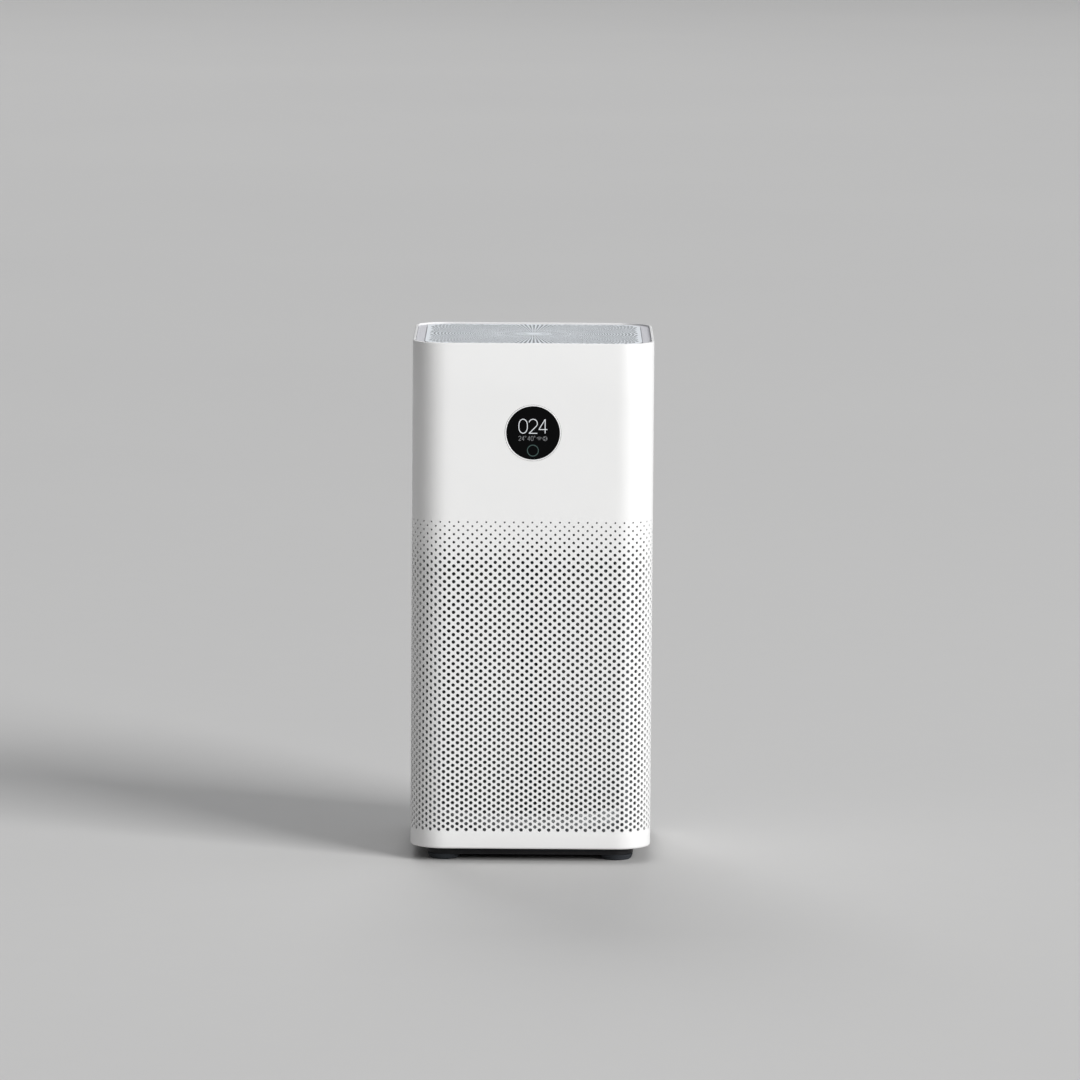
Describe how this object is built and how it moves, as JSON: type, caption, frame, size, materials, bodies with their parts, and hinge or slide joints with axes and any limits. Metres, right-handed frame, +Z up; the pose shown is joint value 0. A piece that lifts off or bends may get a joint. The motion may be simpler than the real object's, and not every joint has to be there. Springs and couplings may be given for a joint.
{
  "type": "air purifier",
  "caption": "Square tower air purifier with a perforated lower casing, round display, top outlet grille, rear filter door, cartridge filter and fan.",
  "frame": {"origin": "on the floor under the middle of the tower", "axes": "+Z up; the front with the display faces -Y; +X to the right seen from the front"},
  "size_m": [0.24, 0.24, 0.52],
  "materials": {
    "shell": "smooth white moulded plastic with a soft satin sheen",
    "frame": "satin white plastic",
    "grille": "light silver-grey satin plastic",
    "black_plastic": "black moulded plastic",
    "inner_plastic": "grey moulded plastic",
    "rubber": "dark matt rubber",
    "steel": "plain steel",
    "brass": "plain brass",
    "board": "green solder resist",
    "copper": "enamelled copper winding",
    "cable": "black sheath",
    "cap_plastic": "pale grey moulded plastic",
    "media": "off-white pleated filter paper",
    "net": "dark woven pre-filter net",
    "carbon": "black activated carbon in a net",
    "foam": "closed-cell foam",
    "strap": "woven ribbon",
    "bright_trim": "glossy white ring",
    "display_glass": "glossy black display window",
    "key_print": "dark green-grey print"
  },
  "bodies": {
    "tower": {"main_casing": "shell", "top_frame": "frame", "top_grille": "grille", "base_pan": "black_plastic", "power_inlet": "black_plastic", "supply_capacitor": "black_plastic", "motor_mount": "black_plastic", "finger_guard": "black_plastic", "display_panel": "black_plastic", "button_switch": "black_plastic", "particle_sensor": "black_plastic", "lower_deck": "inner_plastic", "post_front_left": "inner_plastic", "post_front_right": "inner_plastic", "post_rear_left": "inner_plastic", "post_rear_right": "inner_plastic", "upper_deck": "inner_plastic", "inlet_bell": "inner_plastic", "guide_vanes": "inner_plastic", "hub_cap": "inner_plastic", "fan_duct": "inner_plastic", "outlet_deck": "inner_plastic", "foot_front_left": "rubber", "foot_front_right": "rubber", "foot_rear_right": "rubber", "foot_rear_left": "rubber", "base_screw_front_left": "steel", "base_screw_front_right": "steel", "base_screw_rear_right": "steel", "base_screw_rear_left": "steel", "fan_bearing_lower": "steel", "fan_bearing_upper": "steel", "inlet_pin_left": "brass", "inlet_pin_right": "brass", "supply_board": "board", "display_board": "board", "main_board": "board", "button_board": "board", "supply_transformer": "copper", "motor_stator": "copper", "supply_cable": "cable", "display_ring": "bright_trim", "display_lens": "display_glass", "touch_key": "key_print"},
    "fan": {"impeller": "inner_plastic", "fan_shaft": "steel", "rotor_can": "steel"},
    "door": {"rear_door": "shell", "latch_spring": "steel"},
    "latch": {"door_latch": "frame"},
    "filter": {"filter_top_cap": "cap_plastic", "filter_bottom_cap": "cap_plastic", "filter_pleats": "media", "filter_net": "net", "filter_carbon_core": "carbon", "filter_seal": "foam", "filter_pull_tab": "strap"},
    "button": {"rear_button": "frame"},
    "cover": {"sensor_cover": "shell"}
  },
  "joints": [
    {"name": "fan_spin", "type": "hinge", "parent": "tower", "child": "fan", "pos_m": [0, 0, 0.4], "axis": [0, 0, 1], "continuous": true},
    {"name": "door_pull", "type": "slide", "parent": "tower", "child": "door", "axis": [0, 1, 0], "range_m": [0, 0.46]},
    {"name": "filter_slide", "type": "slide", "parent": "tower", "child": "filter", "axis": [0, 1, 0], "range_m": [0, 0.23]},
    {"name": "latch_press", "type": "slide", "parent": "door", "child": "latch", "axis": [0, 0, -1], "range_m": [0, 0.0035], "stiffness_N_per_m": 600, "springref_m": -0.001, "deforming": ["latch_spring"]},
    {"name": "button_press", "type": "slide", "parent": "tower", "child": "button", "axis": [0, -1, 0], "range_m": [0, 0.0015], "stiffness_N_per_m": 600, "springref_m": -0.0005},
    {"name": "cover_pull", "type": "slide", "parent": "tower", "child": "cover", "axis": [0, 1, 0], "range_m": [0, 0.03]}
  ],
  "couplings": [
    {"joint": "filter_slide", "follows": "door_pull", "ratio": 0.5}
  ]
}
